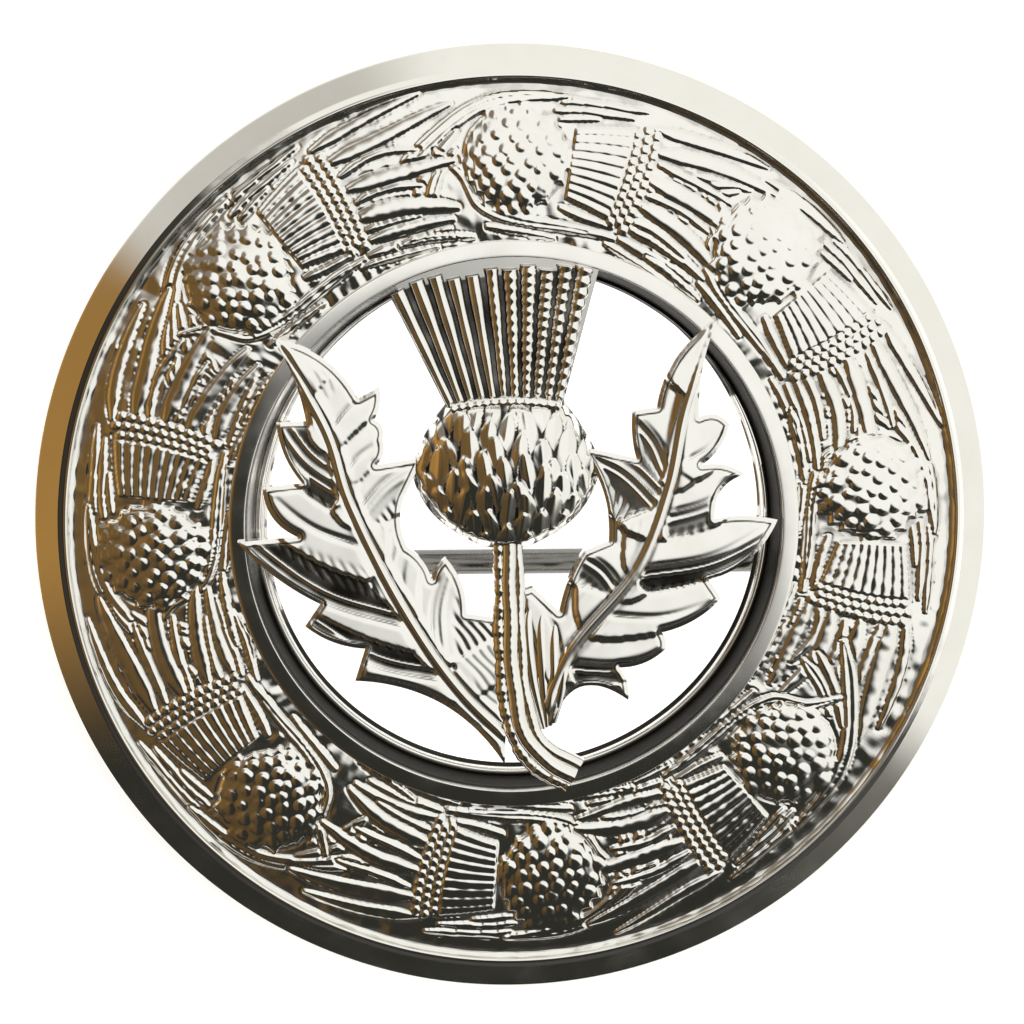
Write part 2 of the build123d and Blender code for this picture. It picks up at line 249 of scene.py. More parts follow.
def fan_half(s):
    """Half the width of the fan, this far along it."""
    return FAN_NECK + (s - FAN_NEAR) * FAN_SPREAD


def lay_fan(thistle):
    """The thistle's flower: a ribbed fan, with rows of florets at its end."""
    cells, s, t = part_of_relief(thistle, FAN_NEAR, FAN_FAR + 1, -6.2, 6.2)
    v = t / fan_half(s)
    top = 0.2 - 0.05 * v**2 + ridge_tops(np.clip((v + 1) / 2, 0, 1), FAN_RIBS, 8.0, 0.2)
    fan = (np.abs(v) < 1) & (s < FAN_FAR)
    edge = (np.abs(v) < 1.06) & (s < FAN_FAR + 0.2)
    now = np.where(edge, GROOVE_SUNK, height[cells])
    height[cells] = np.where(fan, top, now)
    for row in range(FLORET_ROWS):
        place = FAN_FAR + 0.45 + row * FLORET_PITCH
        for dot in range(FLORETS):
            middle = ((dot + 0.5 * (row % 2) + 0.25) / FLORETS * 2 - 1) * fan_half(place)
            raise_floret(thistle, place - FLORET_BOW * middle**2, middle, FLORET_RADIUS, 0.12, 0.2)


def raise_floret(thistle, s0, t0, radius, base, rise):
    """A small round boss, in a groove of its own."""
    reach = radius + 0.15
    cells, s, t = part_of_relief(thistle, s0 - reach * 1.3, s0 + reach * 1.3, t0 - reach, t0 + reach)
    squeeze = (RELIEF_MIDDLE + t0) / RELIEF_MIDDLE
    away = np.hypot((s - s0) * squeeze, t - t0) / radius
    now = height[cells]
    now = np.where((away < 1.25) & (away >= 1), np.minimum(now, base - 0.3), now)
    height[cells] = np.where(away < 1, base + rise * np.sqrt(1 - np.minimum(away, 1) ** 2), now)


def bulb_height(far):
    """The height of a bulb's dome, where far runs from 0 at its middle to 1 at its edge."""
    return BULB_RISE * (1 - far**2) ** 0.5


def lay_bulb(thistle):
    """The thistle's round head: a dome under a net of uneven bosses."""
    reach = BULB_RADIUS + 0.5
    cells, s, t = part_of_relief(thistle, -reach, reach, -reach, reach)
    away = np.hypot(s, t) / BULB_RADIUS
    now = np.where(away < 1.06, GROOVE_SUNK, height[cells])
    height[cells] = np.where(away < 1, bulb_height(np.minimum(away, 1)) - 0.12, now)
    for row in range(-6, 7):
        for column in range(-5, 6):
            s0 = (column + 0.5 * (row % 2)) * BOSS_PITCH
            t0 = row * BOSS_PITCH * 0.72
            far = math.hypot(s0, t0) / BULB_RADIUS
            if far < 0.95:
                jitter = dice.uniform(-BOSS_JITTER, BOSS_JITTER, 2)
                radius = dice.uniform(0.48, 0.78)
                base = bulb_height(far) - 0.08
                raise_boss(thistle, s0 + jitter[0], t0 + jitter[1], radius, base, 0.24)


def raise_boss(thistle, s0, t0, radius, base, rise):
    """A boss on a bulb, with no groove of its own."""
    cells, s, t = part_of_relief(thistle, s0 - 1, s0 + 1, t0 - 1, t0 + 1)
    away = np.minimum(np.hypot(s - s0, t - t0) / radius, 1)
    height[cells] = np.maximum(height[cells], base + rise * np.sqrt(1 - away**2) - 0.2 * away**4)


def blurred(values, passes):
    """The values smoothed over their neighbours, round the ring and across it."""
    for step in passes:
        ahead = np.roll(values, step, axis=0)
        behind = np.roll(values, -step, axis=0)
        values = (ahead + 2 * values + behind) / 4
        padded = np.pad(values, ((0, 0), (step, step)), mode="edge")
        values = (padded[:, : -2 * step] + 2 * values + padded[:, 2 * step:]) / 4
    return values


def arc_height(r):
    """The height of the relief's ground at a radius: the arc through its three points."""
    (x1, y1), (x2, y2), (x3, y3) = (
        (RELIEF_INNER, GROUND_INNER), (RELIEF_MIDDLE, GROUND_MIDDLE), (RELIEF_OUTER, GROUND_OUTER)
    )
    d = 2 * (x1 * (y2 - y3) + x2 * (y3 - y1) + x3 * (y1 - y2))
    q1, q2, q3 = x1**2 + y1**2, x2**2 + y2**2, x3**2 + y3**2
    cx = (q1 * (y2 - y3) + q2 * (y3 - y1) + q3 * (y1 - y2)) / d
    cy = (q1 * (x3 - x2) + q2 * (x1 - x3) + q3 * (x2 - x1)) / d
    return cy + np.sqrt((x1 - cx) ** 2 + (y1 - cy) ** 2 - (r - cx) ** 2)


# Materials
def shader_tree(name):
    """A new material and its tree of nodes."""
    material = bpy.data.materials.new(name)
    material.use_nodes = True
    return material, material.node_tree


def new_node(tree, kind, inputs=(), **settings):
    """A new shader node. Each of its inputs gets a value, or a link from another node's output."""
    node = tree.nodes.new(f"ShaderNode{kind}")
    for setting, value in settings.items():
        setattr(node, setting, value)
    for socket, value in dict(inputs).items():
        if isinstance(value, bpy.types.NodeSocket):
            tree.links.new(value, node.inputs[socket])
        else:
            node.inputs[socket].default_value = value
    return node


def worn_finish_group():
    """Fine scratches and cloudy polish, shared by every metal of the brooch."""
    group = bpy.data.node_groups.new("worn polish", "ShaderNodeTree")
    sockets = (("Grain", "INPUT"), ("Strength", "INPUT"), ("Cloud", "OUTPUT"), ("Height", "OUTPUT"))
    for name, way in sockets:
        group.interface.new_socket(name, in_out=way, socket_type="NodeSocketFloat")
    given = group.nodes.new("NodeGroupInput")
    result = group.nodes.new("NodeGroupOutput")
    place = new_node(group, "TexCoord").outputs["Object"]
    cloud = new_node(group, "TexNoise", {"Vector": place, "Scale": given.outputs["Grain"], "Detail": 5})
    stretch = new_node(group, "Mapping", {
        "Vector": place, "Rotation": (0.3, 0.2, 0.6), "Scale": (400, 6000, 1500),
    })
    scratch = new_node(group, "TexNoise", {"Vector": stretch.outputs["Vector"], "Scale": 1, "Detail": 3})
    depth = {0: scratch.outputs["Fac"], 1: given.outputs["Strength"]}
    deep = new_node(group, "Math", depth, operation="MULTIPLY")
    group.links.new(cloud.outputs["Fac"], result.inputs["Cloud"])
    group.links.new(deep.outputs[0], result.inputs["Height"])
    return group


worn_finish = worn_finish_group()


def metal(name, colour, dull, rough_low, rough_high, darkens):
    """A polished metal with cloudy wear; where it darkens, the recess attribute lays on dark patina and
    painted shade.
    """
    material, tree = shader_tree(name)
    shader = tree.nodes["Principled BSDF"]
    worn = new_node(tree, "Group", node_tree=worn_finish)
    worn.inputs["Grain"].default_value = 260
    worn.inputs["Strength"].default_value = 1.0
    cloud = worn.outputs["Cloud"]
    rough = new_node(tree, "MapRange", {
        "Value": cloud, "From Min": 0.35, "From Max": 0.7, "To Min": rough_low, "To Max": rough_high,
    }).outputs["Result"]
    scratches = new_node(tree, "Bump", {
        "Height": worn.outputs["Height"], "Strength": 0.012, "Distance": 0.00002,
    })
    tree.links.new(scratches.outputs["Normal"], shader.inputs["Normal"])
    tints = {"Factor": cloud, "A": (*colour, 1), "B": (*dull, 1)}
    tint = new_node(tree, "Mix", tints, data_type="RGBA").outputs["Result"]
    if not darkens:
        tree.links.new(rough, shader.inputs["Roughness"])
        tree.links.new(tint, shader.inputs["Base Color"])
        shader.inputs["Metallic"].default_value = 1.0
        return material
    recess = new_node(tree, "Attribute", attribute_name="recess").outputs["Fac"]
    broken = new_node(tree, "Math", {0: cloud, 1: 0.5, 2: recess}, operation="MULTIPLY_ADD")
    limits = {"Value": broken.outputs[0], "From Min": 0.45, "From Max": 0.95}
    patina_and_shade = new_node(tree, "MapRange", limits, interpolation_type="SMOOTHSTEP").outputs["Result"]
    # Black for the patina in the recesses and for the painted shade.
    black = (0.025, 0.023, 0.018, 1)
    with_patina_and_shade = new_node(tree, "Mix", {"Factor": patina_and_shade, "A": tint, "B": black}, data_type="RGBA")
    rougher = new_node(tree, "Mix", {"Factor": patina_and_shade, "A": rough, "B": 0.35})
    metallic_share = new_node(tree, "MapRange", {"Value": patina_and_shade, "To Min": 1.0, "To Max": 0.6})
    tree.links.new(with_patina_and_shade.outputs["Result"], shader.inputs["Base Color"])
    tree.links.new(rougher.outputs["Result"], shader.inputs["Roughness"])
    tree.links.new(metallic_share.outputs["Result"], shader.inputs["Metallic"])
    return material


plate = metal("plated body", (0.90, 0.89, 0.86), (0.82, 0.80, 0.76), 0.07, 0.15, True)
# The pin's colour is darkened as painted shade, for the shade it lies in below the sprig.
shaded_pin_metal = metal("pin wire with painted shade", (0.26, 0.26, 0.25), (0.20, 0.195, 0.18), 0.20, 0.32, False)
rivet_steel = metal("rivet steel", (0.60, 0.60, 0.60), (0.50, 0.50, 0.50), 0.25, 0.40, False)


# Shaping and finishing
def pick(piece):
    """Makes a piece the active one, and the only one that is selected."""
    bpy.ops.object.select_all(action="DESELECT")
    bpy.context.view_layer.objects.active = piece
    piece.select_set(True)


def start_edit(piece):
    """Opens a piece in edit mode, selected all over."""
    pick(piece)
    bpy.ops.object.mode_set(mode="EDIT")
    bpy.ops.mesh.select_all(action="SELECT")


def end_edit(piece):
    bpy.ops.object.mode_set(mode="OBJECT")
    piece.select_set(False)


def tidy_shell(piece):
    """Merges doubles and turns the faces outwards."""
    start_edit(piece)
    bpy.ops.mesh.remove_doubles(threshold=0.002)
    bpy.ops.mesh.normals_make_consistent(inside=False)
    end_edit(piece)


def close_below(foot):
    """Draws the open edge of the piece in edit mode down to a flat foot, and closes it there."""
    bpy.ops.mesh.select_all(action="DESELECT")
    bpy.ops.mesh.select_mode(type="EDGE")
    bpy.ops.mesh.select_non_manifold()
    bpy.ops.mesh.extrude_edges_move()
    bpy.ops.transform.resize(value=(1, 1, 0), center_override=(0, 0, foot))
    bpy.ops.mesh.edge_face_add()
    bpy.ops.mesh.select_all(action="SELECT")
    bpy.ops.mesh.normals_make_consistent(inside=False)


def finish_piece(piece, material, body, node, smooth_angle):
    """Brings a piece from millimetres to metres, gives it its finish and body, and hides the solid's
    part that it stands for.
    """
    piece.data.transform(Matrix.Diagonal((MM, MM, MM, 1)))
    piece.data.materials.clear()
    piece.data.materials.append(material)
    pick(piece)
    bpy.ops.object.shade_smooth_by_angle(angle=math.radians(smooth_angle))
    piece.select_set(False)
    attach(piece, body)
    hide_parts(node)


def finish_plated(piece, smooth_angle):
    """Finishes a piece of the soldered, plated body."""
    finish_piece(piece, plate, "brooch", "brooch", smooth_angle)


def finish_sprig(piece):
    """Moves a piece of the sprig to its place across the hole, and finishes it."""
    piece.data.transform(Matrix.Translation(SPRIG_SHIFT))
    finish_plated(piece, 60)


def from_shape(name, corners, faces):
    """A piece from its corners and faces."""
    mesh = bpy.data.meshes.new(name)
    mesh.from_pydata(corners, [], faces)
    piece = bpy.data.objects.new(name, mesh)
    bpy.context.collection.objects.link(piece)
    return piece


def set_recess(piece, values):
    """Keeps how much dark patina and painted shade lies at each corner, from 0 to 1, for the plated
    finish.
    """
    layer = piece.data.attributes.new("recess", "FLOAT", "POINT")
    layer.data.foreach_set("value", np.asarray(values, np.float32).ravel())


def get_points(piece):
    flat = np.empty(len(piece.data.vertices) * 3)
    piece.data.vertices.foreach_get("co", flat)
    return flat.reshape(-1, 3)


def set_points(piece, points):
    piece.data.vertices.foreach_set("co", np.asarray(points, float).ravel())
    piece.data.update()


# The ring's body, turned like a bowl from its section. Each corner of the section is a radius, a
# height and how far it is eased. They run from the foot up the outer side, over and back below
outer_side = [(45.8, 0.0, 0.15), (47.49, 0.0, 0.25), (47.49, 3.3, 0.15), (47.3, 3.6, 0.15)]
bevel = [(47.09, 3.743, 0), (45.12, 5.084, 0), (44.95, 5.2, 0.1)]
lip = [(44.5, 5.64, 0.1), (44.3, 5.76, 0.12), (44.1, 5.7, 0.1), (43.95, 5.3, 0.1)]
relief_bed = [(43.6, 4.9, 0), (28.7, 4.9, 0)]
inner_band = [
    (28.25, 6.3, 0.1), (28.2, 6.93, 0.06), (28.08, 7.02, 0.06),
    (27.9, 7.042, 0), (26.9, 7.082, 0), (26.62, 7.093, 0.08),
]
hole_wall = [(26.45, 5.6, 0.3), (25.62, 4.1, 0.1)]
hole_bead = [
    (25.55, 3.95, 0), (25.48, 4.16, 0), (25.34, 4.28, 0), (25.2, 4.3, 0),
    (25.06, 4.28, 0), (24.92, 4.16, 0), (24.85, 3.95, 0),
]
hole_foot = [(24.7, 3.7, 0.1), (24.4, 3.62, 0.05), (24.4, 3.45, 0.05)]
hollow_back = [(26.0, 3.45, 0.1), (27.6, 4.0, 0.2), (43.0, 4.0, 0.3), (45.8, 3.3, 0.3)]


def rounded(section):
    """The section with its corners eased into small arcs."""
    line = []
    count = len(section)
    for i in range(count):
        before = Vector(section[i - 1][:2])
        here = Vector(section[i][:2])
        after = Vector(section[(i + 1) % count][:2])
        ease = section[i][2]
        if not ease:
            line.append(here)
            continue
        start = here + (before - here).normalized() * ease
        stop = here + (after - here).normalized() * ease
        for u in np.linspace(0, 1, 6):
            line.append(start.lerp(here, u).lerp(here.lerp(stop, u), u))
    return line


def turn_in_degrees(points):
    """How far round the ring each point is, counted from the east."""
    return np.degrees(np.arctan2(points[:, 1], points[:, 0])) % 360


def paint_ring_shade(ring):
    """Painted shade on the wall, the foot and the bead at the hole's edge, and outside the lip, heavier
    at some turns round the ring than at others.
    """
    points = get_points(ring)
    r = np.hypot(points[:, 0], points[:, 1])
    z = points[:, 2]
    turn = turn_in_degrees(points)
    # Painted shade on the wall, heavier at some turns round the ring than at others.
    turns = (0, 20, 60, 110, 150, 190, 210, 345, 360)
    depths = (0.8, 0.8, 0.8, 0.6, 0.4, 0.5, 1.0, 1.0, 0.8)
    dark = np.interp(turn, turns, depths)
    # Painted shade outside the lip, over the west and south of the ring.
    lip_shade = np.interp(turn, (0, 110, 150, 320, 350), (0.0, 0.0, 1.0, 1.0, 0.0))
    bead_outer, bead_inner, foot_inner = 25.54, 24.84, 24.3
    on_wall = (r < 26.5) & (r > bead_outer) & (z > 3.6)
    on_foot = (r < bead_inner) & (r > foot_inner) & (z > 3.5)
    on_bead = (r < bead_outer) & (r > foot_inner) & (z > 3.5)
    # Painted shade on the foot from the south-west round to the east, and on the bead round the north.
    foot_shade = (on_foot & (turn > 200)) | (on_bead & (turn > 30) & (turn < 155))
    by_lip = (r > 44.42) & (r < 45.02) & (z > 5.1) & (z < 5.75)
    patina_and_shade = np.where(on_wall, dark, 0.0)
    patina_and_shade = np.where(foot_shade, 0.8 * dark, patina_and_shade)
    set_recess(ring, np.where(by_lip, lip_shade, patina_and_shade))


def tuck_foot(ring):
    """Draws the bead and the foot in under the wall, round the north of the hole."""
    points = get_points(ring)
    r = np.hypot(points[:, 0], points[:, 1])
    wall_foot = hole_wall[-1][0]
    turns = (0, 20, 50, 110, 140, 165)
    tucked = 0.68 * np.interp(turn_in_degrees(points), turns, (0.0, 0.3, 1.0, 1.0, 0.6, 0.0))
    drawn = np.where(r < wall_foot, wall_foot - (wall_foot - r) * (1 - tucked), r)
    set_points(ring, points * np.stack([drawn / r, drawn / r, np.ones(len(r))], axis=1))


def make_ring():
    section = outer_side + bevel + lip + relief_bed + inner_band
    section += hole_wall + hole_bead + hole_foot + hollow_back
    line = rounded(section)
    bpy.ops.mesh.primitive_circle_add(vertices=len(line), radius=1)
    ring = bpy.context.object
    ring.name = "ring_body"
    ring.matrix_world = Matrix.Identity(4)
    set_points(ring, [(p.x, 0, p.y) for p in line])
    start_edit(ring)
    bpy.ops.mesh.spin(steps=360, angle=2 * math.pi, center=(0, 0, 0), axis=(0, 0, 1))
    end_edit(ring)
    tidy_shell(ring)
    paint_ring_shade(ring)
    tuck_foot(ring)
    finish_plated(ring, 35)


# The relief
def work_relief():
    """Builds up the relief's heights: all the leaves first, then the fans, then the bulbs."""
    grain = blurred(dice.normal(0, 1, height.shape), (1, 2, 3, 4))
    height[:] = GROUND_SUNK + GROUND_GRAIN * grain / grain.std()
    for lay in (lay_thistle_leaves, lay_fan, lay_bulb):
        for thistle in thistles:
            lay(thistle)
    knobs = blurred(dice.normal(0, 1, height.shape), (1, 2, 2, 3))
    turns = np.arange(TURN_STEPS) * 360 / TURN_STEPS
    worn = np.interp(turns, (0, 25, 50, 85, 115), (1.0, 0.8, 0.7, 0.85, 1.0))
    softened = blurred(height, (1,)) + WORN_GRAIN * knobs / knobs.std()
    height[:] = RELIEF_FLATNESS * worn[:, None] * softened
    height[:] += RIM_RISE * rising(radii, RIM_START, RELIEF_OUTER - RIM_START) ** 1.5


def make_relief():
    """One patch of the band for each thistle, raised to the relief's heights."""
    work_relief()
    around = blurred(height, (1, 2, 3, 4))
    recess = np.clip((around - height - 0.02) * 6.0, 0, 0.34)
    level = arc_height(radii)[None, :] + height
    share = TURN_STEPS // len(thistles)
    for number in range(len(thistles)):
        bpy.ops.mesh.primitive_grid_add(x_subdivisions=share, y_subdivisions=RADIUS_STEPS - 1, size=1)
        patch = bpy.context.object
        patch.name = f"relief_thistle_{number + 1}"
        patch.matrix_world = Matrix.Identity(4)
        flat = get_points(patch)
        step = np.rint((flat[:, 0] + 0.5) * share).astype(int)
        row = (step + number * share - share // 2) % TURN_STEPS
        column = np.rint((flat[:, 1] + 0.5) * (RADIUS_STEPS - 1)).astype(int)
        turn = row * TURN_STEP
        r = radii[column]
        set_points(patch, np.stack([r * np.cos(turn), r * np.sin(turn), level[row, column]], axis=1))
        set_recess(patch, recess[row, column])
        start_edit(patch)
        bpy.ops.mesh.normals_make_consistent(inside=False)
        close_below(RELIEF_FOOT)
        end_edit(patch)
        finish_plated(patch, 75)


# The leaves of the sprig. One row for each lobe, from the foot up the outer side and down the
# inner side: the bulge of the edge that leads to its tip, the tip, the bulge after it, the next
# notch, where its vein leaves the midrib, and how far its upper and lower halves are sunk; a
# sunk half is also painted dark as shade
left_leaf = [
    (-0.13, -15.4, -16.3, 0.00, -14.4, -13.1, 0.10, 0.0, 0.0),
    (0.08, -20.3, -10.8, 0.00, -18.8, -8.6, 0.24, 1.0, 0.0),
    (0.05, -26.9, -2.4, 0.00, -21.0, -1.9, 0.38, 1.0, 0.0),
    (0.15, -24.4, 3.0, 0.00, -20.5, 3.4, 0.58, 0.0, 0.0),
    (0.08, -23.0, 9.4, 0.00, -20.1, 9.5, 0.72, 0.9, 0.9),
    (-0.05, -23.3, 17.7, 0.12, -15.0, 11.7, 1.00, 0.0, 0.0),
    (0.00, -12.9, 12.8, 0.10, -13.4, 9.6, 0.84, 0.0, 0.0),
    (0.20, -12.6, 7.6, 0.15, -13.2, 5.1, 0.74, 0.0, 0.0),
    (0.00, -8.6, 5.8, 0.00, -10.6, 1.7, 0.66, 0.0, 0.2),
    (-0.10, -10.2, -3.1, 0.10, -7.8, -6.3, 0.42, 0.2, 0.0),
    (0.10, -6.4, -4.2, 0.10, -4.4, -9.8, 0.30, 0.0, 0.25),
]
right_leaf = [
    (-0.35, 11.7, -18.6, 0.10, 10.8, -15.3, 0.08, 0.0, 0.6),
    (0.10, 15.4, -13.5, 0.10, 15.0, -11.8, 0.18, 0.0, 1.0),
    (0.08, 20.9, -8.5, 0.00, 19.6, -6.6, 0.32, 0.0, 0.0),
    (0.12, 26.5, -0.7, 0.05, 20.2, -0.5, 0.46, 0.0, 1.0),
    (-0.20, 23.2, 3.9, 0.10, 18.9, 4.9, 0.60, 0.0, 0.4),
    (0.10, 21.6, 8.9, 0.20, 18.6, 9.6, 0.72, 0.0, 0.0),
    (-0.06, 20.3, 19.2, 0.12, 14.4, 10.6, 1.00, 0.0, 0.2),
    (0.00, 12.0, 10.3, 0.05, 12.4, 5.6, 0.70, 0.0, 0.5),
    (0.00, 6.6, 6.9, -0.10, 9.7, -2.6, 0.62, 0.8, 0.6),
    (0.00, 7.2, -3.6, 0.05, 4.8, -9.7, 0.40, 0.0, 0.3),
    (0.00, 2.2, -7.2, 0.00, 1.0, -7.6, 0.16, 0.0, 0.0),
]
left_midrib = [(2.0, -24.4), (-5.2, -17.3), (-11.0, -8.6), (-15.9, 1.4), (-18.2, 8.6), (-23.0, 17.2)]
right_midrib = [(2.6, -21.5), (6.0, -13.5), (12.4, -5.6), (15.6, 2.6), (17.2, 10.4), (20.0, 18.6)]

# The stem from the heart to its foot, and the slender stipules beside it
stem_line = [
    (-0.4, -2.4), (-0.3, -8.0), (-0.2, -13.0), (0.15, -17.5), (1.2, -22.0), (3.4, -24.7), (6.2, -26.3),
]
stipules = [
    [(3.3, -21.4), (2.1, -16.0), (1.7, -11.0), (2.3, -8.0)],
    [(3.6, -21.2), (3.2, -16.0), (3.0, -11.5), (3.3, -8.6)],
    [(3.9, -21.0), (4.2, -16.5), (4.3, -12.5), (4.5, -9.9)],
    [(4.2, -20.8), (5.0, -17.2), (5.4, -14.0), (5.5, -11.6)],
]


def bowed(start, stop, bulge, step=0.22):
    """Points along an edge that bows to its left by a share of its length."""
    run = stop - start
    count = max(2, round(float(np.hypot(*run)) / step))
    aside = np.array([-run[1], run[0]]) * bulge
    return [start + run * u + aside * 4 * u * (1 - u) for u in np.linspace(0, 1, count, endpoint=False)]


def leaf_outline(foot, lobes, root, side):
    """The leaf's edge from its foot round all its lobes to its root, and back to the foot."""
    line = []
    here = np.array(foot)
    for rise, tip_x, tip_y, fall, notch_x, notch_y, *_ in lobes:
        tip = np.array((tip_x, tip_y))
        notch = np.array((notch_x, notch_y))
        line += bowed(here, tip, side * rise) + bowed(tip, notch, side * fall)
        here = notch
    root = np.array(root)
    line += bowed(here, root, 0) + bowed(root, np.array(foot), 0)
    return np.array(line)


def inside_outline(outline, x, y):
    """Which places are inside the outline."""
    within = np.zeros(x.shape, bool)
    x0, y0 = outline[:, 0], outline[:, 1]
    x1, y1 = np.roll(x0, -1), np.roll(y0, -1)
    for ax, ay, bx, by in zip(x0, y0, x1, y1):
        if ay != by:
            crosses = ((ay > y) != (by > y)) & (x < (bx - ax) * (y - ay) / (by - ay) + ax)
            within ^= crosses
    return within


def cast_piece(name, outline, under, surface, pitch=0.2):
    """A cast piece with an outline, a flat back at height under, and a worked top surface."""
    low = outline.min(axis=0)
    high = outline.max(axis=0)
    x, y = np.meshgrid(np.arange(low[0], high[0], pitch), np.arange(low[1], high[1], pitch))
    x = x + pitch / 2 * (np.arange(x.shape[0]) % 2)[:, None]
    x, y = x.ravel(), y.ravel()
    keep = inside_outline(outline, x, y)
    x, y = x[keep], y[keep]
    closed = np.vstack([outline, outline[:1]])
    away, _ = nearest(closed, x, y)
    keep = np.abs(away) > pitch * 0.6
    flat = np.vstack([outline, np.stack([x[keep], y[keep]], axis=1)])
    count = len(outline)
    edges = [(i, (i + 1) % count) for i in range(count)]
    corners, _, faces, _, _, _ = delaunay_2d_cdt([Vector(p) for p in flat], edges, [], 1, 1e-6)
    corners = np.array([tuple(p) for p in corners])
    tops, recess = surface(corners[:, 0], corners[:, 1], np.abs(nearest(closed, *corners.T)[0]))
    piece = from_shape(name, np.column_stack([corners, tops]).tolist(), faces)
    set_recess(piece, recess)
    start_edit(piece)
    bpy.ops.mesh.normals_make_consistent(inside=False)
    bpy.ops.mesh.vertices_smooth(factor=0.5, repeat=3, xaxis=False, yaxis=False, zaxis=True)
    close_below(under)
    end_edit(piece)
    return piece


def bump(distance, width):
    """A round hump across a line, this wide to each side."""
    return np.sqrt(np.clip(1 - (distance / width) ** 2, 0, 1))


def line_cut(distance, place, width):
    """A narrow groove at a distance from a line."""
    return np.exp(-(((distance - place) / width) ** 2))


# How the top of a leaf is worked: its rounded edge, its lean to the lamp, the slant and the depth
# of its hollowed halves, the depths of its cuts, and its midrib
EDGE_ROUND = 0.28
LEAF_LEAN = 0.055
HALF_SLANT = 0.16
HOLLOW_DEPTH = 0.34
STRIPE_RISE = 0.16
VEIN_DEPTH = 0.10
EDGE_DEPTH = 0.08
GUTTER_DEPTH = 0.20
STREAK_DEPTH = 0.16
MIDRIB_RISE = 0.24
MIDRIB_HALF = 0.48
GUTTER_AWAY = 0.62


def leaf_surface(lobes, midrib):
    """The worked top of a leaf: a midrib, a vein to each lobe, and halves full or hollowed."""
    rib = smooth_line(midrib, 10)
    lengths = np.append(0, np.cumsum(np.hypot(*np.diff(rib, axis=0).T)))

    def surface(x, y, from_edge):
        best = np.full(x.shape, 1e9)
        sunk = np.zeros(x.shape)
        share_out = np.zeros(x.shape)
        on_north = np.zeros(x.shape, bool)
        lamp_run = np.zeros(x.shape)
        for row in lobes:
            tip = np.array(row[1:3])
            share, above, below = row[6:9]
            foot = np.array([np.interp(share * 0.94 * lengths[-1], lengths, rib[:, i]) for i in (0, 1)])
            aside = np.array([-(tip - foot)[1], (tip - foot)[0]]) * -0.08 * np.sign(tip[0])
            line = smooth_line([foot, (foot + tip) / 2 + aside, tip], 8)
            away, along = nearest(line, x, y)
            upper = away * np.sign(tip[0] - foot[0] + 1e-9) > 0
            dist = np.abs(away)
            closer = dist < best
            best = np.where(closer, dist, best)
            sunk = np.where(closer, np.where(upper, above, below), sunk)
            share_out = np.where(closer, along, share_out)
            on_north = np.where(closer, upper, on_north)
            run = TO_LAMP[0] * (x - foot[0]) + TO_LAMP[1] * (y - foot[1])
            lamp_run = np.where(closer, run, lamp_run)
        rib_signed, rib_share = nearest(rib, x, y)
        rib_away = np.abs(rib_signed)
        pillow = EDGE_ROUND * (1 - (1 - rising(from_edge, 0, 0.75)) ** 2)
        near = np.minimum(np.minimum(from_edge - 0.45, best - 0.15), rib_away - 0.7)
        inner = rising(near, 0, 0.3)
        inner = inner * inner * (3 - 2 * inner) * np.where(share_out > 0, sunk, 0)
        slant = np.where(on_north, 1.0, -1.0) * HALF_SLANT * inner * np.minimum(best, 2.2)
        slant = (slant - LEAF_LEAN * (1 - inner) * lamp_run) * rising(rib_away, 0.5, 0.8)
        stripe = bump(np.abs(best - 0.95), 0.22)
        hollow = inner * (HOLLOW_DEPTH - STRIPE_RISE * stripe)
        open_side = rising(rib_away, 0.6, 0.8)
        vein_cut = line_cut(best, 0.12, 0.13) * open_side * np.clip(1.05 - share_out, 0, 1)
        edge_cut = line_cut(from_edge, 0.5, 0.11) * (1 - inner) * open_side
        far = rising(best, 1.9, 0.5) * rising(from_edge, 0.3, 0.4) * open_side
        far = far * (0.15 + 0.85 * inner)
        streak = np.abs(np.sin(math.pi * (rib_away / 0.8 + 0.15 * np.sin(1.7 * y))))
        thin = 1 - 0.45 * rib_share
        centre = MIDRIB_RISE * bump(rib_away, MIDRIB_HALF * thin) * thin
        gutter = line_cut(rib_away, GUTTER_AWAY * thin, 0.12) * thin
        tops = (LEAF_TOP + pillow + slant + centre - hollow - VEIN_DEPTH * vein_cut
                - EDGE_DEPTH * edge_cut - GUTTER_DEPTH * gutter - STREAK_DEPTH * far * (1 - streak))
        # Dark patina in the vein, edge, gutter and streak cuts, and painted shade over the hollowed
        # halves but for their stripe.
        recess = 0.62 * inner * (1 - stripe) + 0.6 * vein_cut + 0.75 * edge_cut + 0.6 * gutter
        recess = recess + 0.6 * far * np.clip(1 - 2 * streak, 0, 1)
        return np.clip(tops, SEAT_LEVEL + 0.5, LEAF_TOP + 0.8), np.clip(recess, 0, 0.95)

    return surface


def make_leaves():
    """Both leaves. Side tells which way round the outline runs, so that edges bulge outwards."""
    shapes = [
        ("left_leaf", (-0.6, -24.9), left_leaf, (-0.2, -10.4), 1, left_midrib),
        ("right_leaf", (4.0, -21.2), right_leaf, (0.8, -9.0), -1, right_midrib),
    ]
    for name, foot, lobes, root, side, midrib in shapes:
        outline = leaf_outline(foot, lobes, root, side)
        leaf = cast_piece(name, outline, SEAT_LEVEL, leaf_surface(lobes, midrib), 0.14)
        finish_sprig(leaf)


# The thistle's heart: the ball that its dome is cut from, its rows of pointed scales from the top
# down, and its outline at the right, as places from its centre line
HEART_CENTRE = -0.45
HEART_MIDDLE = 4.7
HEART_TOP = 10.95
HEART_BALL = 15.35
SCALE_ROWS = 9
SCALE_ROW_STEP = 1.9
FIRST_SCALE_ROW = 11.5
SCALE_PITCH = 2.25
SCALE_JITTER = 0.32
SCALE_SUNK = -0.4
heart_side = [(0.0, -3.4), (3.2, -2.6), (7.4, 0.4), (9.25, 4.7), (7.6, 8.6), (5.75, 11.2)]


